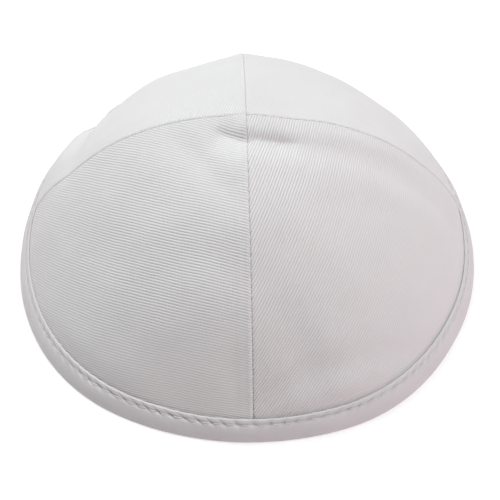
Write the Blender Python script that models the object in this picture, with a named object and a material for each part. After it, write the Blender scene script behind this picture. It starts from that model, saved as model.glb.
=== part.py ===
"""A four-gore cloth skullcap with a folded binding round its rim, at its real size.

Metres, +Z up. The origin is the centre of the rim's foot, and the front seam faces -Y.
Four gores of cloth meet at the apex. A U-shaped binding takes their lower edge in its slot
and stands on a flat foot. Every surface comes from crown(): an arch carried round Z, squared
a little towards the rim, raised along the seams, and pressed in or out by the rows of
WAVES and FOLDS.
"""

import math
from collections import namedtuple

import bmesh
import bpy
import numpy as np

# Sizes, each of which can be set by itself
RIM_WIDTH = 0.180
CROWN_HEIGHT = 0.0622
CLOTH = 0.0012
BINDING_CLOTH = 0.0010
BINDING_HEIGHT = 0.0083
SEAM_RISE = 0.0031
SEAM_GAP = 0.0003
BINDING_GAP = 0.0003

# Form of the crown: the arch's angle from apex to rim, and the rim's outline (2 is round)
ARCH = math.radians(56.4)
SQUARENESS = 2.21

# Pushes of the rim outwards. Azimuth from +X and spread are in degrees, push is a share of
# half the rim's width, and fade is the power of the way down with which it grows from the apex.
Wave = namedtuple("Wave", "azimuth spread push fade")
WAVES = (
    Wave(azimuth=-2, spread=14, push=0.005, fade=2),
    Wave(azimuth=-37, spread=12, push=-0.007, fade=2),
    Wave(azimuth=-64, spread=12, push=0.007, fade=2),
    Wave(azimuth=-88, spread=14, push=0.005, fade=2),
    Wave(azimuth=-112, spread=14, push=-0.006, fade=2),
    Wave(azimuth=148, spread=22, push=-0.012, fade=2),
    Wave(azimuth=139, spread=4.2, push=-0.048, fade=5),
    Wave(azimuth=30, spread=20, push=-0.013, fade=2),
)

# Dents in the cloth, seen from above. Their place and their two half-lengths are shares of
# half the rim's width, turn is in degrees from +X, depth is a share of the crown's height,
# and a negative depth swells out. They die away between two shares of the way to the foot,
# because the binding holds the rim.
Fold = namedtuple("Fold", "x y along across turn depth")
FOLDS = {
    "dip before the apex": Fold(0.06, -0.13, 0.16, 0.050, 0, 0.018),
    "swell left of the dip": Fold(-0.11, -0.19, 0.13, 0.080, -45, -0.010),
    "valley along the right seam": Fold(0.52, -0.13, 0.30, 0.065, 2, 0.012),
    "hollow low on the right": Fold(0.19, -0.80, 0.13, 0.070, -60, 0.012),
    "swell low on the left": Fold(-0.53, -0.76, 0.30, 0.080, -36, -0.014),
    "swell on the left seam": Fold(-0.84, 0.08, 0.26, 0.120, 90, -0.014),
    "swell on the right seam": Fold(0.80, 0.08, 0.26, 0.140, 90, -0.012),
    "swell on the back left rim": Fold(-0.77, 0.29, 0.30, 0.085, 70, -0.022),
    "swell on the back right rim": Fold(0.78, 0.27, 0.28, 0.085, -70, -0.018),
    "crease on the back left": Fold(-0.72, 0.48, 0.34, 0.038, 90, 0.037),
    "slack above the crease": Fold(-0.635, 0.47, 0.28, 0.125, 85, 0.029),
    "swell below the crease": Fold(-0.80, 0.42, 0.28, 0.040, 90, -0.004),
    "slack beside the back seam": Fold(-0.22, 0.60, 0.16, 0.170, 90, 0.016),
    "peak on the back seam": Fold(0.00, 0.62, 0.14, 0.070, 90, -0.008),
}
FOLDS_FULL, FOLDS_GONE = 0.87, 0.95

# Fineness of the meshes, the distance at which points at the apex are one, and the angle
# past which an edge is drawn sharp
STEPS_ROUND_QUARTER = 22
ROWS_DOWN_GORE = 18
STEPS_ROUND_EDGE = 3
SAME_POINT = 1e-6
SHARP_ANGLE = math.radians(40)

# Side of the seams that each gore lies on: +X or -X, then +Y or -Y
GORES = {
    "gore_front_left": (-1, -1),
    "gore_front_right": (1, -1),
    "gore_back_left": (-1, 1),
    "gore_back_right": (1, 1),
}

TWILL_COLOUR = (0.80, 0.79, 0.79, 1)
BINDING_COLOUR = (0.77, 0.76, 0.76, 1)
CLOTH_ROUGHNESS = 0.9

HALF_WIDTH = RIM_WIDTH / 2
PROUD = BINDING_GAP + BINDING_CLOTH  # how far the binding's outside lies out from the cloth


def arch(share, half_width):
    """The arch and its normal: an arc of the angle ARCH, stretched to its width and height."""
    turned = share * ARCH
    wide, high = half_width / math.sin(ARCH), CROWN_HEIGHT / (1 - math.cos(ARCH))
    radius, height = wide * np.sin(turned), high * (np.cos(turned) - math.cos(ARCH))
    outward, upward = high * np.sin(turned), wide * np.cos(turned)
    length = np.hypot(outward, upward)
    return radius, height, outward / length, upward / length, length * ARCH


# At the foot the binding's outside has the rim's full width, so the cloth is narrower by the
# binding measured level
CLOTH_HALF_WIDTH = HALF_WIDTH - PROUD / float(arch(1.0, HALF_WIDTH)[2])

# The cloth's normal at the foot, outward and upward, and the length of cloth that a whole
# share of the arch would take at the pace that it has there
NORMAL_OUT, NORMAL_UP, PACE = (float(n) for n in arch(1.0, CLOTH_HALF_WIDTH)[2:])


def push_of_waves(azimuth, share):
    """How far the waves push the cloth outwards: bells round the rim, fading to the apex."""
    push = np.zeros_like(azimuth)
    for wave in WAVES:
        away = (azimuth - math.radians(wave.azimuth) + math.pi) % (2 * math.pi) - math.pi
        bell = np.exp(-((away / math.radians(wave.spread)) ** 2))
        push += wave.push * bell * share**wave.fade
    return push * HALF_WIDTH


def depth_of_folds(x, y, share):
    """How deep the folds press the cloth in: oval bells about each fold's place."""
    depth = np.zeros_like(x)
    for fold in FOLDS.values():
        turn = math.radians(fold.turn)
        right, away = x / HALF_WIDTH - fold.x, y / HALF_WIDTH - fold.y
        along = (right * math.cos(turn) + away * math.sin(turn)) / fold.along
        across = (away * math.cos(turn) - right * math.sin(turn)) / fold.across
        depth += fold.depth * np.exp(-(along**2) - across**2)
    left = np.clip((FOLDS_GONE - share) / (FOLDS_GONE - FOLDS_FULL), 0, 1)
    return depth * CROWN_HEIGHT * left**2 * (3 - 2 * left)


def crown(azimuth, share, out):
    """Points of the crown at an azimuth from +X and a share of the way from apex to foot.

    out is how far a point lies outside the cloth's outer face, along its normal.
    """
    radius, height, outward, upward, _ = arch(share, CLOTH_HALF_WIDTH)
    level = np.abs(np.cos(azimuth)) ** SQUARENESS + np.abs(np.sin(azimuth)) ** SQUARENESS
    radius = radius * (1 + (level ** (-1 / SQUARENESS) - 1) * share)
    radius = radius + push_of_waves(azimuth, share)
    seam = 0.5 - np.abs(np.sin(2 * azimuth))
    out = out + SEAM_RISE * np.sin(math.pi * np.clip(share, 0, 1)) * seam
    out = out - depth_of_folds(radius * np.cos(azimuth), radius * np.sin(azimuth), share)
    radius = radius + out * outward
    return np.stack([radius * np.cos(azimuth), radius * np.sin(azimuth), height + out * upward], -1)


def up_the_cloth(height, out):
    """How far up the cloth from the foot a point lies that is at this height, out from it."""
    return (height - out * NORMAL_UP) / NORMAL_OUT


def material(name, colour):
    cloth = bpy.data.materials.new(name)
    cloth.use_nodes = True
    shader = cloth.node_tree.nodes["Principled BSDF"]
    shader.inputs["Base Color"].default_value = colour
    shader.inputs["Roughness"].default_value = CLOTH_ROUGHNESS
    shader.inputs["Metallic"].default_value = 0
    return cloth


def add_part(name, bm, cloth, parts):
    bmesh.ops.recalc_face_normals(bm, faces=bm.faces)
    mesh = bpy.data.meshes.new(name)
    bm.to_mesh(mesh)
    bm.free()
    mesh.shade_smooth()
    mesh.set_sharp_from_angle(angle=SHARP_ANGLE)
    mesh.materials.append(cloth)
    parts.objects.link(bpy.data.objects.new(name, mesh))


def move_points(bm, points):
    for vert, point in zip(bm.verts, points):
        vert.co = point


def gore(name, side_x, side_y, parts):
    """A quarter of the crown: a grid laid on it, given its wall, cut straight at the seams."""
    bm = bmesh.new()
    bmesh.ops.create_grid(
        bm, x_segments=STEPS_ROUND_QUARTER, y_segments=ROWS_DOWN_GORE, size=0.5
    )
    across, down = (np.array([v.co[axis] for v in bm.verts]) + 0.5 for axis in (0, 1))
    # The lower edge clears the slot's floor by its inner corner too
    edge_height = BINDING_CLOTH + BINDING_GAP + CLOTH * NORMAL_UP
    lowest = 1 - up_the_cloth(edge_height, 0) / PACE
    start = math.atan2(side_y, side_x) - math.pi / 4
    points = crown(start + across * math.pi / 2, down * lowest, 0.0)
    # Each quarter draws in towards its corner of the rim, which opens the seams
    sides = np.array([side_x, side_y])
    drawn = SEAM_GAP / 2 + np.abs(points[:, :2]) * (1 - SEAM_GAP / RIM_WIDTH)
    points[:, :2] = sides * drawn
    move_points(bm, points)
    bmesh.ops.remove_doubles(bm, verts=bm.verts, dist=SAME_POINT)
    bmesh.ops.recalc_face_normals(bm, faces=bm.faces)
    if sum(face.normal.z * face.calc_area() for face in bm.faces) < 0:
        bmesh.ops.reverse_faces(bm, faces=bm.faces)
    bmesh.ops.solidify(bm, geom=bm.faces[:], thickness=CLOTH)
    for vert in bm.verts:
        vert.co.x = side_x * max(side_x * vert.co.x, SEAM_GAP / 2)
        vert.co.y = side_y * max(side_y * vert.co.y, SEAM_GAP / 2)
    add_part(name, bm, material(name + "_twill", TWILL_COLOUR), parts)


def leg(out, top):
    """One leg of the binding's section, from its outer side over its round upper edge."""
    radius = BINDING_CLOTH / 2
    turns = [math.pi * step / STEPS_ROUND_EDGE for step in range(STEPS_ROUND_EDGE + 1)]
    return [
        (out + radius + radius * math.cos(turn), top - radius + radius * math.sin(turn))
        for turn in turns
    ]


def binding_section():
    """The binding's U-shaped section as (out from the cloth, up the cloth from the foot)."""
    inside = -CLOTH - BINDING_GAP
    top = up_the_cloth(BINDING_HEIGHT, PROUD)
    foot_outside, foot_inside = PROUD, inside - BINDING_CLOTH
    floor_outside, floor_inside = BINDING_GAP, inside
    return [
        (foot_outside, up_the_cloth(0, foot_outside)),
        (foot_outside, top / 2),
        *leg(BINDING_GAP, top),
        (floor_outside, top / 2),
        (floor_outside, up_the_cloth(BINDING_CLOTH, floor_outside)),
        (floor_inside, up_the_cloth(BINDING_CLOTH, floor_inside)),
        (floor_inside, top / 2),
        *leg(foot_inside, top),
        (foot_inside, top / 2),
        (foot_inside, up_the_cloth(0, foot_inside)),
    ]


def binding(parts):
    """The binding: its section spun into a ring about Z, then laid along the crown's rim.

    The ring is spun at a radius of 1, so a point's radius less 1 is its distance out from
    the cloth, and its height is its distance up the cloth.
    """
    bm = bmesh.new()
    section = binding_section()
    verts = [bm.verts.new((1 + out, 0, up)) for out, up in section]
    edges = [bm.edges.new(pair) for pair in zip(verts, verts[1:] + verts[:1])]
    bmesh.ops.spin(
        bm,
        geom=verts + edges,
        cent=(0, 0, 0),
        axis=(0, 0, 1),
        angle=2 * math.pi,
        steps=4 * STEPS_ROUND_QUARTER,
        use_merge=True,
    )
    ring = np.array([v.co[:] for v in bm.verts])
    azimuth = np.arctan2(ring[:, 1], ring[:, 0])
    out, up = np.hypot(ring[:, 0], ring[:, 1]) - 1, ring[:, 2]
    points = crown(azimuth, 1 - up / PACE, out)
    # The foot's points are pressed level, and all others lie above half a wall
    points[points[:, 2] < BINDING_CLOTH / 2, 2] = 0
    move_points(bm, points)
    add_part("rim_band", bm, material("binding_cotton", BINDING_COLOUR), parts)


def main():
    for old in list(bpy.data.objects):
        bpy.data.objects.remove(old, do_unlink=True)
    parts = bpy.data.collections.new("skullcap")
    bpy.context.scene.collection.children.link(parts)
    for name, (side_x, side_y) in GORES.items():
        gore(name, side_x, side_y, parts)
    binding(parts)


main()
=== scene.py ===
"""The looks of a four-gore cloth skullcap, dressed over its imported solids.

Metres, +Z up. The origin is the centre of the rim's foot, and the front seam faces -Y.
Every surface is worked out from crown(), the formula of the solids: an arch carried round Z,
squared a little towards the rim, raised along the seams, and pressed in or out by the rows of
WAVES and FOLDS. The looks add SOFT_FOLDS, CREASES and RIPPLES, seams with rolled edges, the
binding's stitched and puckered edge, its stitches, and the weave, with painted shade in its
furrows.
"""

import math
from collections import namedtuple

import bpy
import numpy as np
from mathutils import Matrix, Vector


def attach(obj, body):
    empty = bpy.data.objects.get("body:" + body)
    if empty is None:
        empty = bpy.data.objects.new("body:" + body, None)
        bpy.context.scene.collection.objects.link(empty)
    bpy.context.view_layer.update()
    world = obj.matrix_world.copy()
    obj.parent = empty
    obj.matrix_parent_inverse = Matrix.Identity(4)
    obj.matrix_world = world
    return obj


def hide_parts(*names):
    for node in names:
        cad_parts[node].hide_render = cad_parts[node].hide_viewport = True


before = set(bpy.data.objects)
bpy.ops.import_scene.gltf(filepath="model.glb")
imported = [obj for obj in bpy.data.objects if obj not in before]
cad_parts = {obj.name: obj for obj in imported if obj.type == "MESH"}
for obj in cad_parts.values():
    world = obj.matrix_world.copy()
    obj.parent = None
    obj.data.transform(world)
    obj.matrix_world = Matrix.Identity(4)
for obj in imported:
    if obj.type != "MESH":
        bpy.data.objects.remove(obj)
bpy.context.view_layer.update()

# Sizes of the solids
RIM_WIDTH = 0.180
CROWN_HEIGHT = 0.0622
GORE_MIDDLE = 0.6  # of the way from the apex to the foot, where the flat cut is laid out from
CLOTH = 0.0012
BINDING_CLOTH = 0.0010
BINDING_HEIGHT = 0.0083
SEAM_RISE = 0.0031
BINDING_GAP = 0.0003
ARCH = math.radians(56.4)
SQUARENESS = 2.21  # of the rim: 2 is round, and more is squarer

# Pushes of the rim outwards. Azimuth from +X and spread are in degrees, push is a share of
# half the rim's width, and fade is the power of the way down with which it grows from the apex.
Wave = namedtuple("Wave", "azimuth spread push fade")
WAVES = (
    Wave(azimuth=-2, spread=14, push=0.005, fade=2),
    Wave(azimuth=-37, spread=12, push=-0.007, fade=2),
    Wave(azimuth=-64, spread=12, push=0.007, fade=2),
    Wave(azimuth=-88, spread=14, push=0.005, fade=2),
    Wave(azimuth=-112, spread=14, push=-0.006, fade=2),
    Wave(azimuth=148, spread=22, push=-0.012, fade=2),
    Wave(azimuth=139, spread=4.2, push=-0.048, fade=5),
    Wave(azimuth=30, spread=20, push=-0.013, fade=2),
)

# Dents in the cloth, seen from above. Their place and their two half-lengths are shares of
# half the rim's width, turn is in degrees from +X, depth is a share of the crown's height,
# and a negative depth swells out. They die away between two shares of the way to the foot,
# because the binding holds the rim.
Fold = namedtuple("Fold", "x y along across turn depth")
FOLDS = {
    "dip before the apex": Fold(0.06, -0.13, 0.16, 0.050, 0, 0.018),
    "swell left of the dip": Fold(-0.11, -0.19, 0.13, 0.080, -45, -0.010),
    "valley along the right seam": Fold(0.52, -0.13, 0.30, 0.065, 2, 0.012),
    "hollow low on the right": Fold(0.19, -0.80, 0.13, 0.070, -60, 0.012),
    "swell low on the left": Fold(-0.53, -0.76, 0.30, 0.080, -36, -0.014),
    "swell on the left seam": Fold(-0.84, 0.08, 0.26, 0.120, 90, -0.014),
    "swell on the right seam": Fold(0.80, 0.08, 0.26, 0.140, 90, -0.012),
    "swell on the back left rim": Fold(-0.77, 0.29, 0.30, 0.085, 70, -0.022),
    "swell on the back right rim": Fold(0.78, 0.27, 0.28, 0.085, -70, -0.018),
    "crease on the back left": Fold(-0.72, 0.48, 0.34, 0.038, 90, 0.037),
    "slack above the crease": Fold(-0.635, 0.47, 0.28, 0.125, 85, 0.029),
    "swell below the crease": Fold(-0.80, 0.42, 0.28, 0.040, 90, -0.004),
    "slack beside the back seam": Fold(-0.22, 0.60, 0.16, 0.170, 90, 0.016),
    "peak on the back seam": Fold(0.00, 0.62, 0.14, 0.070, 90, -0.008),
}
FOLDS_FULL, FOLDS_GONE = 0.87, 0.95

# Softer folds of the same kind, which only the looks have
SOFT_FOLDS = {
    "slack on the right seam by the apex": Fold(0.17, 0.01, 0.11, 0.080, 0, 0.020),
    "rise at the apex": Fold(0.00, 0.00, 0.06, 0.070, 90, -0.008),
    "swell on the back left": Fold(-0.34, 0.57, 0.16, 0.130, 150, -0.014),
    "swell on the back right": Fold(0.26, 0.61, 0.20, 0.150, 20, -0.012),
    "slant on the left gore": Fold(-0.17, -0.19, 0.19, 0.045, -53, 0.010),
    "swell left of the slant": Fold(-0.33, -0.17, 0.20, 0.100, -40, -0.008),
    "hollow left of the front seam": Fold(-0.13, -0.54, 0.16, 0.075, -15, 0.007),
    "swell above that hollow": Fold(-0.20, -0.42, 0.24, 0.090, -10, -0.006),
    "roll under the right seam": Fold(0.50, -0.045, 0.36, 0.035, 0, -0.005),
    "swell below the right valley": Fold(0.50, -0.22, 0.30, 0.070, 4, -0.005),
    "tail of the right valley": Fold(0.76, -0.165, 0.20, 0.050, -8, 0.008),
    "hollow far left": Fold(-0.60, -0.40, 0.20, 0.120, -50, 0.006),
    "swell low on the right": Fold(0.27, -0.882, 0.24, 0.040, 18, -0.013),
    "hollow above the right hem": Fold(0.27, -0.825, 0.27, 0.036, 18, 0.012),
    "hollow by the front seam": Fold(-0.07, -0.83, 0.10, 0.045, 85, 0.006),
}

# Creases with a steep side towards the apex and a gentle one in front. Place, half-length and
# the reach of the two sides are shares of half the rim's width, turn is in degrees from +X,
# and depth is a share of the crown's height.
Crease = namedtuple("Crease", "x y along turn behind before depth")
CREASES = {
    "left lobe of the dip": Crease(-0.052, -0.090, 0.072, -24, 0.021, 0.050, 0.031),
    "right lobe of the dip": Crease(0.085, -0.101, 0.105, -3, 0.019, 0.046, 0.026),
    "tail of the dip": Crease(0.26, -0.108, 0.16, 0, 0.030, 0.060, 0.008),
}
CREASE_ROUND = 0.35

# Seams of the crown: the rolled edges of the cloth, the stitches that pull them in, and the
# allowances pressed to one side, which show as a low ridge
SEAM_ROLL = 0.00062
SEAM_DEPTH = 0.00044
SEAM_SLIT = 0.00001  # between each gore's wall and the seam's plane
SEAM_PITCH = 0.0034
SEAM_PULL = 0.45
SEAM_RIDGE = 0.00010
SEAM_RIDGE_PLACE = 0.0012
SEAM_RIDGE_WIDTH = 0.0005
SEAM_PUCKER = 0.00006
SEAM_PUCKER_REACH = 0.0016
ALLOWANCE_WIDTH = 0.0046
ALLOWANCE_EDGE = 0.0020
ALLOWANCE_RISE = 0.00013
ALLOWANCE_INSIDE = 0.0005

# How deep the side seam's ditch is at places along X in metres, as a share of SEAM_DEPTH
Ditch = namedtuple("Ditch", "x share")
SIDE_SEAM = (
    Ditch(x=-0.085, share=0.16),
    Ditch(x=-0.055, share=0.46),
    Ditch(x=-0.012, share=0.60),
    Ditch(x=0.012, share=0.42),
    Ditch(x=0.045, share=0.34),
    Ditch(x=0.085, share=0.20),
)

# Binding: its folded edge, its rounded foot, the row of stitches, the pits that they pull, and
# how the cloth puffs above and below them
EDGE_RADIUS = 0.0004
FOOT_RADIUS = 0.0008
FOOT_LIFT = 1.25  # of that radius, as the foot slants across the cloth
FOOT_START, FOOT_END = -62, 232  # turns in degrees at which the round corners meet the foot
STITCH_DROP = 0.0020
STITCH_PITCH = 0.0045
STITCH_LENGTH = 0.0034
STITCH_WANDER = 0.11  # of a stitch
STITCH_WAVES = (9, 23)  # of that wander, round the rim
THREAD = 0.00032
THREAD_SUNK = 0.15  # of its width
GROOVE_WIDTH = 0.00050
GROOVE_DEPTH = 0.00018
HOLE_DEPTH = 0.00056
PIT_REACH = 2.6  # of the groove's width
PIT_WIDE_SHARE = 0.4
BEAD_PUFF = 0.00018
BEAD_PLACE = 0.45  # of the way from the edge to the stitches
BEAD_REACH = 0.42
INSIDE_SHARE = 0.6  # of the puckers, on the inner leg
FACE_PUFF = 0.00034
FACE_PUFF_CHANGE = 0.35
FACE_PUFF_LENGTH = 0.0263

# Lean of the puckers, in radians of a stitch over the drop to the stitches, which changes
# sides within LEAN_CHANGE of the front seam, and how tight they are sewn: PUCKER_LEAST at the
# back, full at the front, with the smooth step between starting at TIGHT_START
PUCKER_LEAN = 4.6
LEAN_CHANGE = 0.2
PUCKER_LEAST = 0.35
TIGHT_START = 0.12
TIGHT_RATE = 1.1

# How far the stitches pull the binding's edge in towards the cloth, in metres, at azimuths in
# degrees from +X. It stands off most at the front right.
Hug = namedtuple("Hug", "azimuth depth")
HUGS = (
    Hug(azimuth=-180, depth=0.00058),
    Hug(azimuth=-160, depth=0.00056),
    Hug(azimuth=-135, depth=0.00044),
    Hug(azimuth=-90, depth=0.00040),
    Hug(azimuth=-60, depth=0.00032),
    Hug(azimuth=-42, depth=0.00030),
    Hug(azimuth=-24, depth=0.00046),
    Hug(azimuth=-8, depth=0.00057),
)

# Cloths. lean is the angle in degrees of the weave's ridges above the cloth's rightward
# direction, pitch their spacing and relief their height. floats is how far each ridge breaks
# into threads, and shade how much painted shade darkens the furrows in the base colour.
Weave = namedtuple("Weave", "colour lean pitch relief floats shade")
WEAVES = {
    "crown_twill": Weave((0.81, 0.80, 0.80), 27, 0.00094, 0.00009, 0.18, 0.18),
    "binding_cotton": Weave((0.715, 0.695, 0.702), 45, 0.0006, 0.00003, 0.3, 0.03),
    "stitch_thread": Weave((0.78, 0.77, 0.77), 60, 0.0004, 0.00003, 0.1, 0.10),
}
FURROW_SHARPNESS = 1.6
# The painted shade in the furrows is scaled about FURROW_MEAN, so the cloth's mean tone stays the
# same where the relief is weaker or stronger
FURROW_MEAN = 0.42  # of the furrows' depth
THREADS_PER_RIDGE = 1.9
RIDGE_WANDER = 1.1  # of a pitch
PATCHINESS = 1.0  # how much the relief varies from patch to patch
FIBRE_HEIGHT = 0.35  # of the relief
BLOTCH = 0.05
CLEAN_TONE = 0.975
ROUGHNESS = 0.84
ROUGHER_FIBRES = 0.12
SPECULAR = 0.25
SHEEN = 0.12
SHEEN_ROUGHNESS = 0.5

# Bumps to the metre of the noises that vary the cloth
WANDER_BUMPS = 55
BLOTCH_BUMPS = 75
PATCH_BUMPS = 260
FIBRE_BUMPS = 2600
NOISE_ROUGHNESS = 0.55

# How ironing changed the twill's height, and with it the painted shade in its furrows: along an
# axis they go from full to this share of it between two places given in metres
Pressed = namedtuple("Pressed", "axis start end share")
PRESSED = {
    "flatter on the back gores": Pressed("Y", -0.004, 0.012, 0.40),
    "crisper right of the front seam": Pressed("X", -0.0002, 0.0002, 1.40),
    "flatter on the right": Pressed("X", 0.010, 0.060, 0.26),
}

# Camera: the photo's, fitted to the outline and the seams. The origin lies at AIM_PIXEL.
IMAGE_PIXELS = 500
FOCAL_PIXELS = 732.9
AIM_PIXEL = (246.5, 228.15)
SENSOR = 36
CAMERA_DISTANCE = 0.298
CAMERA_AZIMUTH = -91.483
CAMERA_ELEVATION = 51.95
CAMERA_NEAR = 0.01

# Studio. Brightness is what a white card facing the lamp would show, and so is SKY's.
Lamp = namedtuple("Lamp", "azimuth elevation distance size brightness colour")
LAMPS = {
    "softbox behind on the left": Lamp(135, 45, 1.3, 1.0, 0.71, (1.0, 0.96, 0.98)),
    "softbox high on the right": Lamp(0, 68, 1.3, 1.0, 0.725, (0.895, 1.0, 0.985)),
    "low fill from the right": Lamp(-32, 20, 1.3, 1.0, 0.245, (1.0, 0.50, 0.62)),
    "fill high on the left": Lamp(165, 55, 1.3, 1.0, 0.07, (1.0, 0.97, 0.95)),
}
SKY = 0.01
SKY_COLOUR = (1.0, 1.0, 1.0)
FLOOR_SIZE = 12
FLOOR_GAP = 0.00005
FLOOR_COLOUR = (0.90, 0.86, 0.87)
FLOOR_ROUGHNESS = 0.9
FLOOR_SPECULAR = 0.1
FLOOR_GLOW = 0.235
FLOOR_GLOW_COLOUR = (0.93, 1.0, 0.95)

# Fineness of the meshes
GORE_COLUMNS = 190
GORE_ROWS = 160
CROWDING = 0.72
RING_STEPS = 1400
THREAD_STEPS = 11
THREAD_SIDES = 8
SHARP_ANGLE = math.radians(55)

# Soft unevenness of the cloth: sine waves, their wavelengths in metres, their directions in
# degrees from +X, their phases, and their shares of the height
RIPPLE_HEIGHT = 0.00040
Ripple = namedtuple("Ripple", "wavelength direction phase share")
RIPPLES = (
    Ripple(0.043, 15, 0.4, 0.34),
    Ripple(0.031, 74, 2.1, 0.26),
    Ripple(0.022, 128, 4.4, 0.18),
    Ripple(0.017, 48, 1.2, 0.12),
    Ripple(0.012, 160, 5.3, 0.06),
    Ripple(0.0093, 100, 3.0, 0.04),
)

# Side of the seams that each gore lies on (+X or -X, then +Y or -Y), whether the allowances
# of its front or back seam and of its side seam are pressed under it, and how far in degrees
# its cloth was turned anticlockwise on the cutting table
Gore = namedtuple("Gore", "side_x side_y under_long_seam under_side_seam grain")
GORES = {
    "gore_front_left": Gore(-1, -1, 1, 0, -6),
    "gore_front_right": Gore(1, -1, 0, 0, 0),
    "gore_back_left": Gore(-1, 1, 1, 1, 0),
    "gore_back_right": Gore(1, 1, 0, 1, 0),
}

QUARTER = math.pi / 2
HALF_WIDTH = RIM_WIDTH / 2
PROUD = BINDING_GAP + BINDING_CLOTH


def arch(share, half_width):
    """The arch, its normal and its pace: an arc of the angle ARCH, stretched to fit.

    Gives the radius, the height, the normal's share outwards and upwards, and how much of the
    arch's length goes by for each whole share.
    """
    turned = share * ARCH
    wide, high = half_width / math.sin(ARCH), CROWN_HEIGHT / (1 - math.cos(ARCH))
    radius, height = wide * np.sin(turned), high * (np.cos(turned) - math.cos(ARCH))
    outward, upward = high * np.sin(turned), wide * np.cos(turned)
    length = np.hypot(outward, upward)
    return radius, height, outward / length, upward / length, length * ARCH


CLOTH_HALF_WIDTH = HALF_WIDTH - PROUD / float(arch(1.0, HALF_WIDTH)[2])
NORMAL_OUT, NORMAL_UP, PACE = (float(n) for n in arch(1.0, CLOTH_HALF_WIDTH)[2:])


def push_of_waves(azimuth, share):
    """How far the waves push the cloth outwards: bells round the rim, fading to the apex."""
    push = np.zeros_like(azimuth)
    for wave in WAVES:
        away = (azimuth - math.radians(wave.azimuth) + math.pi) % (2 * math.pi) - math.pi
        bell = np.exp(-((away / math.radians(wave.spread)) ** 2))
        push += wave.push * bell * share**wave.fade
    return push * HALF_WIDTH


def smooth_step(share):
    """0 below 0, 1 above 1, and between them a rise that starts and ends level."""
    share = np.clip(share, 0, 1)
    return share**2 * (3 - 2 * share)


def turned_to(fold, x, y):
    """Where points lie along and across a fold, as shares of half the rim's width."""
    turn = math.radians(fold.turn)
    right, away = x / HALF_WIDTH - fold.x, y / HALF_WIDTH - fold.y
    along = right * math.cos(turn) + away * math.sin(turn)
    return along, away * math.cos(turn) - right * math.sin(turn)


def depth_of_folds(x, y, share):
    """How deep the folds and creases press the cloth in.

    A fold is an oval bell about its place. A crease falls off on each side by its own
    exponential, rounded at the bottom, and stops at its ends like e to the minus fourth power.
    """
    depth = np.zeros_like(x)
    for fold in (*FOLDS.values(), *SOFT_FOLDS.values()):
        along, across = turned_to(fold, x, y)
        depth += fold.depth * np.exp(-((along / fold.along) ** 2) - (across / fold.across) ** 2)
    for crease in CREASES.values():
        along, across = turned_to(crease, x, y)
        across = across / np.where(across > 0, crease.behind, crease.before)
        slope = np.hypot(across, CREASE_ROUND) - CREASE_ROUND
        depth += crease.depth * np.exp(-((along / crease.along) ** 4) - slope)
    left = smooth_step((FOLDS_GONE - share) / (FOLDS_GONE - FOLDS_FULL))
    return depth * CROWN_HEIGHT * left


def crown(azimuth, share, out):
    """Points of the crown at an azimuth from +X and a share of the way from apex to foot.

    out is how far a point lies outside the cloth's outer face, along its normal. The arch is
    carried round Z, its radius grows into a rounded square and takes the waves' push, and the
    seams' rise and the folds' depth are added to out.
    """
    radius, height, outward, upward, _ = arch(share, CLOTH_HALF_WIDTH)
    level = np.abs(np.cos(azimuth)) ** SQUARENESS + np.abs(np.sin(azimuth)) ** SQUARENESS
    radius = radius * (1 + (level ** (-1 / SQUARENESS) - 1) * share)
    radius = radius + push_of_waves(azimuth, share)
    seam = 0.5 - np.abs(np.sin(2 * azimuth))
    out = out + SEAM_RISE * np.sin(math.pi * np.clip(share, 0, 1)) * seam
    out = out - depth_of_folds(radius * np.cos(azimuth), radius * np.sin(azimuth), share)
    radius = radius + out * outward
    return np.stack([radius * np.cos(azimuth), radius * np.sin(azimuth), height + out * upward], -1)


def up_the_cloth(height, out):
    """How far up the cloth from the foot a point lies that is at this height, out from it."""
    return (height - out * NORMAL_UP) / NORMAL_OUT


def length_down(share, steps=400):
    """The cloth's length from the apex down the arch: the arch's pace, summed."""
    shares = np.linspace(0, 1, steps)
    pace = arch(shares, CLOTH_HALF_WIDTH)[4]
    lengths = (pace[1:] + pace[:-1]) / 2 * np.diff(shares)
    return np.interp(share, shares, np.concatenate([[0], np.cumsum(lengths)]))


CLOTH_LENGTH = float(length_down(1.0))


def cloth_plan(azimuth, share):
    """A gore's cloth laid flat, in metres: rightwards, and up towards the apex.

    The crown is taken as part of a ball on which its length and its rim's radius are both
    true. The ball is spread flat about the gore's middle, each point at its true distance and
    direction from there, as cloth lies that is cut flat and bent over a dome. azimuth counts
    from the gore's middle line.
    """
    least, most, tries = 0.3, 2.5, 800
    turns = np.linspace(least, most, tries)
    rim_turn = np.interp(-CLOTH_HALF_WIDTH / CLOTH_LENGTH, -np.sin(turns) / turns, turns)
    ball = CLOTH_LENGTH / rim_turn
    down, middle = length_down(share) / ball, GORE_MIDDLE * rim_turn
    towards = np.cos(middle) * np.cos(down) + np.sin(middle) * np.sin(down) * np.cos(azimuth)
    away = np.arccos(np.clip(towards, -1, 1))
    stretch = ball * away / np.maximum(np.sin(away), 1e-9)
    right = stretch * np.sin(down) * np.sin(azimuth)
    up = stretch * (np.cos(down) * np.sin(middle) - np.sin(down) * np.cos(middle) * np.cos(azimuth))
    return np.stack([right, up], -1)


def unevenness(x, y):
    """Soft ripples of hand-laid cloth: the sine waves of RIPPLES, added up."""
    height = np.zeros_like(x)
    for ripple in RIPPLES:
        turn = math.radians(ripple.direction)
        along = x * math.cos(turn) + y * math.sin(turn)
        height += ripple.share * np.sin(2 * math.pi * along / ripple.wavelength + ripple.phase)
    return height * RIPPLE_HEIGHT


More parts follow.
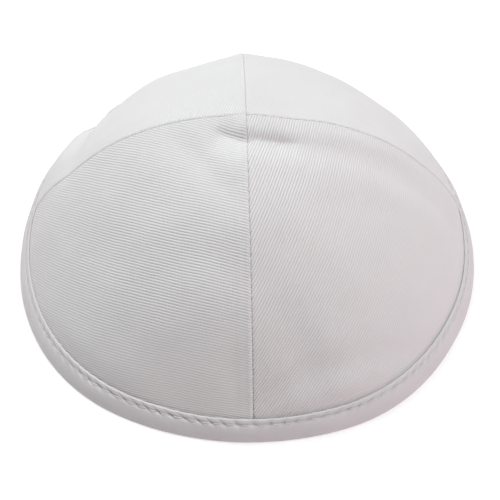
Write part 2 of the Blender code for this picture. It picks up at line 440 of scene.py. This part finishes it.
def seam_relief(from_seam, down, pressed_under, ditch):
    """How far the cloth lies out near a seam: its edge rolls in, and the allowances lift it.

    The roll is a quarter circle that flattens towards the ditch's floor, as deep as this share
    of SEAM_DEPTH. Its radius grows where each stitch pulls, and the cloth beside the stitch
    puckers a little. Where the allowances are pressed under, a narrow ridge runs beside the
    roll, and a low plateau ends in a soft step. Gives the depth of the roll and the height of
    the ridge and plateau.
    """
    turn = 2 * math.pi * down / SEAM_PITCH
    pulled = (0.5 + 0.5 * np.cos(turn)) ** 4
    roll = SEAM_ROLL * (1 + SEAM_PULL * pulled)
    near = np.clip(1 - from_seam / roll, 0, 1)
    rolled = roll * (1 - np.sqrt(1 - near**2))
    deepest = SEAM_DEPTH * ditch * (1 + SEAM_PULL * pulled)
    rolled = deepest * np.tanh(rolled / deepest)
    pucker = SEAM_PUCKER * pulled * np.exp(-from_seam / SEAM_PUCKER_REACH)
    plateau = smooth_step((ALLOWANCE_WIDTH - from_seam) / ALLOWANCE_EDGE + 0.5)
    ridge = np.exp(-(((from_seam - SEAM_RIDGE_PLACE) / SEAM_RIDGE_WIDTH) ** 2))
    return rolled + pucker, pressed_under * (ALLOWANCE_RISE * plateau + SEAM_RIDGE * ridge)


def crowded(steps):
    """Steps from 0 to 1 that lie closer together towards both ends: a line less a sine."""
    even = np.linspace(0, 1, steps)
    return even - CROWDING * np.sin(2 * math.pi * even) / (2 * math.pi)


def add_mesh(name, points, corners, uv, material):
    """A smooth mesh of points and four-cornered faces, with a place on the cloth per corner.

    corners has a row of four point numbers for each face, and a face at a pole names its
    point twice. uv has a row of four places for each face. The faces are turned to point
    outwards, which they do where the space that they enclose comes out positive.
    """
    corners, uv = corners.reshape(-1, 4), uv.reshape(-1, 4, 2)
    a, b, c, d = (points[corners[:, corner]] for corner in range(4))
    if (a * (np.cross(b, c) + np.cross(c, d))).sum() < 0:
        corners, uv = corners[:, ::-1], uv[:, ::-1]
    keep = corners != np.roll(corners, 1, axis=1)
    sizes = keep.sum(1)
    solid = sizes >= 3
    corners, uv, keep, sizes = corners[solid], uv[solid], keep[solid], sizes[solid]
    used, corners = np.unique(corners[keep], return_inverse=True)
    mesh = bpy.data.meshes.new(name)
    mesh.vertices.add(len(used))
    mesh.vertices.foreach_set("co", points[used].astype(np.float32).ravel())
    mesh.loops.add(len(corners))
    mesh.loops.foreach_set("vertex_index", corners.astype(np.int32))
    mesh.polygons.add(len(sizes))
    starts = np.concatenate([[0], np.cumsum(sizes)[:-1]])
    mesh.polygons.foreach_set("loop_start", starts.astype(np.int32))
    mesh.update(calc_edges=True)
    layer = mesh.uv_layers.new(name="cloth")
    layer.data.foreach_set("uv", uv[keep].astype(np.float32).ravel())
    mesh.validate()
    mesh.shade_smooth()
    mesh.set_sharp_from_angle(angle=SHARP_ANGLE)
    mesh.materials.append(material)
    piece = bpy.data.objects.new(name, mesh)
    bpy.context.scene.collection.objects.link(piece)
    return piece


def quads(numbers):
    """The four corners of each cell of a grid of point numbers (or of places)."""
    return np.stack([numbers[:-1, :-1], numbers[:-1, 1:], numbers[1:, 1:], numbers[1:, :-1]], 2)


def gore(name, cut, material):
    """A quarter of the crown: an outer and an inner grid, closed at the seams and the hem.

    Each row is a ring that runs out along the outer face and back along the inner one. The
    first row shrinks to the two points of the wall at the apex, and the last row is capped.
    """
    middle = math.atan2(cut.side_y, cut.side_x)
    azimuth = middle + (crowded(GORE_COLUMNS) - 0.5) * QUARTER
    edge_height = BINDING_CLOTH + BINDING_GAP + CLOTH * NORMAL_UP
    lowest = 1 - up_the_cloth(edge_height, 0) / PACE
    share = np.linspace(0, lowest, GORE_ROWS)
    share, azimuth = np.meshgrid(share, azimuth, indexing="ij")
    flat = crown(azimuth, share, 0.0)
    from_long, from_side = np.abs(flat[..., 0]), np.abs(flat[..., 1])
    down = length_down(share)
    side_ditch = np.interp(flat[..., 0], *zip(*SIDE_SEAM))
    long_roll, long_lift = seam_relief(from_long, down, cut.under_long_seam, 1.0)
    side_roll, side_lift = seam_relief(from_side, down, cut.under_side_seam, side_ditch)
    seams = np.maximum(long_lift, side_lift) - np.maximum(long_roll, side_roll)
    held = 1 - smooth_step((share - FOLDS_FULL) / (FOLDS_GONE - FOLDS_FULL))
    ripples = unevenness(flat[..., 0], flat[..., 1]) * held
    outer = crown(azimuth, share, seams + ripples)
    allowance = np.minimum(from_long, from_side) - ALLOWANCE_WIDTH
    inside = -CLOTH - ALLOWANCE_INSIDE * smooth_step(0.5 - allowance / ALLOWANCE_EDGE) * held
    inner = crown(azimuth, share, inside)
    sides = np.array([cut.side_x, cut.side_y])
    for grid in (outer, inner):
        grid[..., :2] = sides * np.maximum(sides * grid[..., :2], SEAM_SLIT)
    rows, columns = share.shape
    points = np.concatenate([outer, inner[:, ::-1]], axis=1).reshape(-1, 3)
    numbers = np.arange(len(points)).reshape(rows, 2 * columns)
    numbers[0, :columns], numbers[0, columns:] = numbers[0, 0], numbers[0, -1]
    ring = np.concatenate([numbers, numbers[:, :1]], axis=1)
    turn = math.radians(cut.grain)
    spin = np.array([[math.cos(turn), -math.sin(turn)], [math.sin(turn), math.cos(turn)]])
    plan = cloth_plan(azimuth - middle, share) @ spin
    plan = np.concatenate([plan, plan[:, ::-1], plan[:, :1]], axis=1)
    cap = np.stack([ring[-1, :columns], ring[-1, 2 * columns - 1 : columns - 1 : -1]])
    cap_plan = np.stack([plan[-1, :columns], plan[-1, :columns]])
    faces = np.concatenate([quads(ring).reshape(-1, 4), quads(cap).reshape(-1, 4)])
    uv = np.concatenate([quads(plan).reshape(-1, 4, 2), quads(cap_plan).reshape(-1, 4, 2)])
    return add_mesh(name, points, faces, uv, material)


# Node helpers
def node(tree, kind, settings=(), inputs=()):
    """Adds a node, sets its settings, and fills or wires its inputs; gives its outputs."""
    made = tree.nodes.new("ShaderNode" + kind)
    for name, value in dict(settings).items():
        setattr(made, name, value)
    for key, value in dict(inputs).items():
        if isinstance(value, bpy.types.NodeSocket):
            tree.links.new(value, made.inputs[key])
        else:
            made.inputs[key].default_value = value
    return made.outputs


def calc(tree, operation, *values):
    """One sum on numbers or outputs."""
    return node(tree, "Math", {"operation": operation}, dict(enumerate(values)))[0]


def noise(tree, place, scale, detail):
    """Soft noise from 0 to 1, with this many bumps to the metre."""
    settings = {"Vector": place, "Scale": scale, "Detail": detail, "Roughness": NOISE_ROUGHNESS}
    return node(tree, "TexNoise", {}, settings)["Fac"]


def cloth_material(name, weave):
    """Woven cotton on the piece's own flat plan: leaning ridges, threads, fibres and blotches.

    The ridges are a sine across their lean, which noise makes wander, and the furrows between
    them a power of it. The threads are a finer sine along each ridge. The base colour is darkened
    in the furrows as painted shade, about their mean so that the cloth's tone stays the same.
    Noise makes the relief and that painted shade patchy, and PRESSED flattens or sharpens both
    from place to place.
    """
    cloth = bpy.data.materials.new(name)
    cloth.use_nodes = True
    tree = cloth.node_tree
    shader = tree.nodes["Principled BSDF"]
    lean = math.radians(weave.lean)
    level, steep = math.cos(lean) / weave.pitch, math.sin(lean) / weave.pitch
    plan = node(tree, "UVMap", {"uv_map": "cloth"})["UV"]
    right, up, _ = node(tree, "SeparateXYZ", {}, {0: plan})
    wander = noise(tree, plan, WANDER_BUMPS, 3)
    wander = calc(tree, "MULTIPLY_ADD", wander, RIDGE_WANDER, -RIDGE_WANDER / 2)
    across = calc(tree, "MULTIPLY", up, level)
    across = calc(tree, "MULTIPLY_ADD", right, -steep, across)
    across = calc(tree, "ADD", across, wander)
    along = calc(tree, "MULTIPLY", right, level)
    along = calc(tree, "MULTIPLY_ADD", up, steep, along)
    ridge = calc(tree, "SINE", calc(tree, "MULTIPLY", across, 2 * math.pi))
    half_across = calc(tree, "MULTIPLY", across, 0.5)
    thread = calc(tree, "MULTIPLY_ADD", along, THREADS_PER_RIDGE, half_across)
    thread = calc(tree, "SINE", calc(tree, "MULTIPLY", thread, 2 * math.pi))
    fibre = noise(tree, plan, FIBRE_BUMPS, 2)
    patchy = noise(tree, plan, PATCH_BUMPS, 3)
    strength = calc(tree, "MULTIPLY_ADD", patchy, PATCHINESS, 1 - PATCHINESS / 2)
    for axis, start, end, share in PRESSED.values():
        place = node(tree, "SeparateXYZ", {}, {0: node(tree, "TexCoord")["Object"]})[axis]
        change = {0: place, 1: start, 2: end, 3: 1.0, 4: share}
        strength = calc(tree, "MULTIPLY", strength, node(tree, "MapRange", {}, change)[0])
    furrow = calc(tree, "MULTIPLY_ADD", ridge, -0.5, 0.5)
    furrow = calc(tree, "POWER", furrow, FURROW_SHARPNESS)
    height = calc(tree, "MULTIPLY", calc(tree, "MULTIPLY", furrow, -1.0), strength)
    height = calc(tree, "MULTIPLY_ADD", thread, weave.floats, height)
    height = calc(tree, "MULTIPLY_ADD", fibre, FIBRE_HEIGHT, height)
    bump = node(tree, "Bump", {}, {"Strength": 1.0, "Distance": weave.relief, "Height": height})
    # Painted shade: the base colour is darker in the furrows, as if shade fell there
    darker = calc(tree, "MULTIPLY", calc(tree, "SUBTRACT", furrow, FURROW_MEAN), strength)
    shadow = calc(tree, "MULTIPLY", darker, -weave.shade)
    clean = CLEAN_TONE - FURROW_MEAN * weave.shade
    blotch = calc(tree, "MULTIPLY_ADD", noise(tree, plan, BLOTCH_BUMPS, 3), BLOTCH, clean)
    tone = calc(tree, "ADD", shadow, blotch)
    base = node(tree, "VectorMath", {"operation": "SCALE"}, {0: weave.colour, "Scale": tone})
    tree.links.new(base[0], shader.inputs["Base Color"])
    tree.links.new(bump[0], shader.inputs["Normal"])
    rough = calc(tree, "MULTIPLY_ADD", fibre, ROUGHER_FIBRES, ROUGHNESS)
    tree.links.new(rough, shader.inputs["Roughness"])
    shader.inputs["Specular IOR Level"].default_value = SPECULAR
    shader.inputs["Sheen Weight"].default_value = SHEEN
    shader.inputs["Sheen Roughness"].default_value = SHEEN_ROUGHNESS
    return cloth


def rim_turns(steps=4000):
    """Azimuths round the binding's edge from the back seam, and the length run to each."""
    azimuth = np.linspace(QUARTER, 5 * QUARTER, steps + 1)
    edge = crown(azimuth, np.full_like(azimuth, 1 - BINDING_HEIGHT / PACE), PROUD)
    lengths = np.linalg.norm(np.diff(edge, axis=0), axis=1)
    return azimuth, np.concatenate([[0], np.cumsum(lengths)])


RIM_AZIMUTH, RIM_RUN = rim_turns()
RIM_LENGTH = float(RIM_RUN[-1])
STITCHES = round(RIM_LENGTH / STITCH_PITCH)


def stitch_count(run):
    """How many stitches lie before a run round the rim: an even count that wanders in waves."""
    turn = 2 * math.pi * run / RIM_LENGTH
    wander = sum(np.sin(waves * turn) for waves in STITCH_WAVES)
    return run / RIM_LENGTH * STITCHES + STITCH_WANDER * wander


def arc(centre, radius, start, end, steps):
    """Points of an arc from one angle in degrees to another, as (out, up)."""
    turn = np.radians(np.linspace(start, end, steps))
    return np.stack([centre[0] + radius * np.cos(turn), centre[1] + radius * np.sin(turn)], -1)


def line(start, end, steps):
    """Points of a straight stretch without its two ends, as (out, up)."""
    part = np.linspace(0, 1, steps + 2)[1:-1, None]
    return np.array(start) * (1 - part) + np.array(end) * part


def binding_section():
    """The binding's section as (out from the cloth, up the cloth), its kinds and its top.

    A U with round corners: up the outer leg, over its folded edge, down into the slot, over
    the inner leg and back along the foot. Gives the points, the part of the binding that each
    lies on, and how far up the cloth its edge is.
    """
    inside = -CLOTH - BINDING_GAP
    top = up_the_cloth(BINDING_HEIGHT, PROUD)
    far = inside - BINDING_CLOTH
    low_out, low_in = up_the_cloth(0, PROUD), up_the_cloth(0, far)
    floor_out = up_the_cloth(BINDING_CLOTH, BINDING_GAP)
    floor_in = up_the_cloth(BINDING_CLOTH, inside)
    groove, corner = top - 2 * STITCH_DROP, low_out + FOOT_RADIUS * FOOT_LIFT
    parts = [
        ("outer", arc((PROUD - FOOT_RADIUS, corner), FOOT_RADIUS, FOOT_START, 0, 6)),
        ("outer", line((PROUD, corner), (PROUD, groove), 9)),
        ("outer", line((PROUD, groove), (PROUD, top - EDGE_RADIUS), 21)),
        ("outer", arc((PROUD - EDGE_RADIUS, top - EDGE_RADIUS), EDGE_RADIUS, 0, 180, 9)),
        ("slot", line((BINDING_GAP, top - EDGE_RADIUS), (BINDING_GAP, floor_out), 2)),
        ("slot", np.array([(BINDING_GAP, floor_out), (inside, floor_in)])),
        ("slot", line((inside, floor_in), (inside, top - EDGE_RADIUS), 2)),
        ("inner", arc((inside - EDGE_RADIUS, top - EDGE_RADIUS), EDGE_RADIUS, 0, 180, 5)),
        ("inner", line((far, top - EDGE_RADIUS), (far, low_in + EDGE_RADIUS), 8)),
        ("inner", arc((far + EDGE_RADIUS, low_in + EDGE_RADIUS), EDGE_RADIUS, 180, FOOT_END, 3)),
    ]
    points = np.concatenate([part for _, part in parts])
    kinds = np.concatenate([[kind] * len(part) for kind, part in parts])
    return points, kinds, top


def puckers(run, azimuth, below):
    """How far the stitches press the binding in, at a run round it and a drop below its edge.

    A shallow groove follows the row of stitches. At each end of a stitch the thread goes
    through and pulls a pit that leans away from the front seam on both sides, a power of a
    cosine along the rim and a narrow and a wide bell across it. Between the pits the cloth
    above the row puffs up into a bead. It is sewn tightest at the front.
    """
    turn = 2 * math.pi * stitch_count(run)
    from_row = below - STITCH_DROP
    lean = PUCKER_LEAN * np.tanh(np.cos(azimuth) / LEAN_CHANGE) * from_row / STITCH_DROP
    hole = (0.5 + 0.5 * np.cos(turn + lean)) ** 3
    front = smooth_step(TIGHT_START - TIGHT_RATE * np.sin(azimuth))
    tight = PUCKER_LEAST + (1 - PUCKER_LEAST) * front
    row = np.exp(-((from_row / GROOVE_WIDTH) ** 2))
    wide = np.exp(-((from_row / (PIT_REACH * GROOVE_WIDTH)) ** 2))
    bead = np.exp(-(((below / STITCH_DROP - BEAD_PLACE) / BEAD_REACH) ** 2))
    pits = HOLE_DEPTH * hole * ((1 - PIT_WIDE_SHARE) * row + PIT_WIDE_SHARE * wide)
    return GROOVE_DEPTH * row + tight * (pits - BEAD_PUFF * bead * (1 - hole))


def binding(material):
    """The binding: its section carried along the crown's rim, puffed, puckered and pulled in.

    The face below the stitches puffs by a half sine, and the edge is pulled in by a bell that
    falls off down the face.
    """
    section, kinds, top = binding_section()
    run = np.linspace(0, RIM_LENGTH, RING_STEPS + 1)[:-1]
    azimuth = np.interp(run, RIM_RUN, RIM_AZIMUTH)
    run, out = np.meshgrid(run, section[:, 0], indexing="ij")
    azimuth, up = np.meshgrid(azimuth, section[:, 1], indexing="ij")
    below = top - up
    outer, inner = (kinds == "outer")[None, :], (kinds == "inner")[None, :]
    face = np.clip((below - STITCH_DROP) / (top - STITCH_DROP), 0, 1)
    change = 1 + FACE_PUFF_CHANGE * np.sin(2 * math.pi * run / FACE_PUFF_LENGTH)
    puff = FACE_PUFF * np.sin(math.pi * face) * change
    hug = np.interp(np.degrees(azimuth), *zip(*HUGS), period=360)
    hug = hug * np.exp(-((below / STITCH_DROP) ** 2))
    press = puckers(run, azimuth, below)
    moved = outer * (puff - press - hug) + inner * press * INSIDE_SHARE
    points = crown(azimuth, 1 - up / PACE, out + moved)
    low = points[..., 2] < BINDING_CLOTH / 4
    points[..., 2] = np.where(low & (kinds != "slot")[None, :], 0, points[..., 2])
    rows, columns = out.shape
    numbers = np.arange(rows * columns).reshape(rows, columns)
    wrapped = np.pad(numbers, ((0, 1), (0, 1)), mode="wrap")
    steps = np.linalg.norm(np.diff(np.vstack([section, section[:1]]), axis=0), axis=1)
    across = np.concatenate([[0], np.cumsum(steps)])
    along = np.linspace(0, RIM_LENGTH, rows + 1)
    plan = np.stack(np.meshgrid(along, across, indexing="ij"), -1)
    return add_mesh("rim_binding", points.reshape(-1, 3), quads(wrapped), quads(plan), material)


def stitches(name, out, top, material):
    """A row of stitches: short threads with round ends, each dipping into the cloth.

    Each is a tube about a path along the rim. t runs from -1 to 1 along it, the path dips by
    t to the fourth, and the radius shrinks with the root of 1 - t to the sixth.
    """
    run = np.linspace(0, RIM_LENGTH, RING_STEPS)
    centre = np.interp(np.arange(STITCHES) + 0.5, stitch_count(run), run)
    t = np.linspace(-1, 1, THREAD_STEPS)
    turn = np.linspace(0, 2 * math.pi, THREAD_SIDES + 1)[:-1]
    centre, t, turn = np.meshgrid(centre, t, turn, indexing="ij")
    azimuth = np.interp(centre + t * STITCH_LENGTH / 2, RIM_RUN, RIM_AZIMUTH)
    radius = THREAD / 2 * np.sqrt(np.maximum(1 - t**6, 0))
    side = 1 if out > 0 else -1
    press = GROOVE_DEPTH - THREAD_SUNK * THREAD + (HOLE_DEPTH + THREAD / 2) * t**4
    up = top - STITCH_DROP + radius * np.sin(turn)
    points = crown(azimuth, 1 - up / PACE, out + side * (radius * np.cos(turn) - press))
    one = np.arange(THREAD_STEPS * THREAD_SIDES).reshape(THREAD_STEPS, THREAD_SIDES)
    one[0], one[-1] = one[0, 0], one[-1, 0]
    one = quads(np.pad(one, ((0, 0), (0, 1)), mode="wrap")).reshape(-1, 4)
    first = np.arange(STITCHES) * THREAD_STEPS * THREAD_SIDES
    along = np.linspace(0, STITCH_LENGTH, THREAD_STEPS)
    round_it = np.linspace(0, math.pi * THREAD, THREAD_SIDES + 1)
    plan = quads(np.stack(np.meshgrid(along, round_it, indexing="ij"), -1)).reshape(-1, 4, 2)
    corners, uv = first[:, None, None] + one, np.tile(plan, (STITCHES, 1, 1))
    return add_mesh(name, points.reshape(-1, 3), corners, uv, material)


def dress():
    """Makes every piece of the cap, seats it on the frame and gives it its cloth."""
    cloths = {name: cloth_material(name, weave) for name, weave in WEAVES.items()}
    thread = cloths["stitch_thread"]
    for name, cut in GORES.items():
        cloth = gore(name.replace("gore", "cloth"), cut, cloths["crown_twill"])
        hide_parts(name)
        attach(cloth, "root")
    band = binding(cloths["binding_cotton"])
    top = binding_section()[2]
    rows = [
        stitches("stitches_outside", PROUD, top, thread),
        stitches("stitches_inside", -CLOTH - PROUD, top, thread),
    ]
    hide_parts("rim_band")
    for piece in (band, *rows):
        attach(piece, "root")


def direction(azimuth, elevation):
    """The direction of a place seen from the origin, from its two angles in degrees."""
    turn, rise = math.radians(azimuth), math.radians(elevation)
    level = math.cos(rise)
    return Vector((math.cos(turn) * level, math.sin(turn) * level, math.sin(rise)))


def studio():
    """A pale floor, soft lamps and the camera."""
    scene = bpy.context.scene
    scene.view_settings.view_transform = "Standard"
    bpy.ops.mesh.primitive_plane_add(size=FLOOR_SIZE, location=(0, 0, -FLOOR_GAP))
    floor = bpy.context.object
    floor.name = "floor"
    paint = bpy.data.materials.new("floor_paint")
    paint.use_nodes = True
    shader = paint.node_tree.nodes["Principled BSDF"]
    shader.inputs["Base Color"].default_value = (*FLOOR_COLOUR, 1)
    shader.inputs["Roughness"].default_value = FLOOR_ROUGHNESS
    shader.inputs["Specular IOR Level"].default_value = FLOOR_SPECULAR
    shader.inputs["Emission Color"].default_value = (*FLOOR_GLOW_COLOUR, 1)
    shader.inputs["Emission Strength"].default_value = FLOOR_GLOW
    floor.data.materials.append(paint)
    scene.world = bpy.data.worlds.new("studio")
    scene.world.use_nodes = True
    sky = scene.world.node_tree.nodes["Background"]
    sky.inputs["Color"].default_value = (*SKY_COLOUR, 1)
    sky.inputs["Strength"].default_value = SKY
    for name, lamp in LAMPS.items():
        data = bpy.data.lights.new(name, "AREA")
        data.size = lamp.size
        data.color = lamp.colour
        data.energy = lamp.brightness * (math.pi * lamp.distance) ** 2
        light = bpy.data.objects.new(name, data)
        light.location = lamp.distance * direction(lamp.azimuth, lamp.elevation)
        light.rotation_euler = light.location.to_track_quat("Z", "Y").to_euler()
        scene.collection.objects.link(light)
    eye = bpy.data.cameras.new("camera")
    eye.sensor_width = SENSOR
    eye.lens = FOCAL_PIXELS / IMAGE_PIXELS * SENSOR
    eye.shift_x = 0.5 - AIM_PIXEL[0] / IMAGE_PIXELS
    eye.shift_y = AIM_PIXEL[1] / IMAGE_PIXELS - 0.5
    eye.clip_start = CAMERA_NEAR
    camera = bpy.data.objects.new("camera", eye)
    camera.location = CAMERA_DISTANCE * direction(CAMERA_AZIMUTH, CAMERA_ELEVATION)
    camera.rotation_euler = camera.location.to_track_quat("Z", "Y").to_euler()
    scene.collection.objects.link(camera)
    scene.camera = camera


dress()
studio()
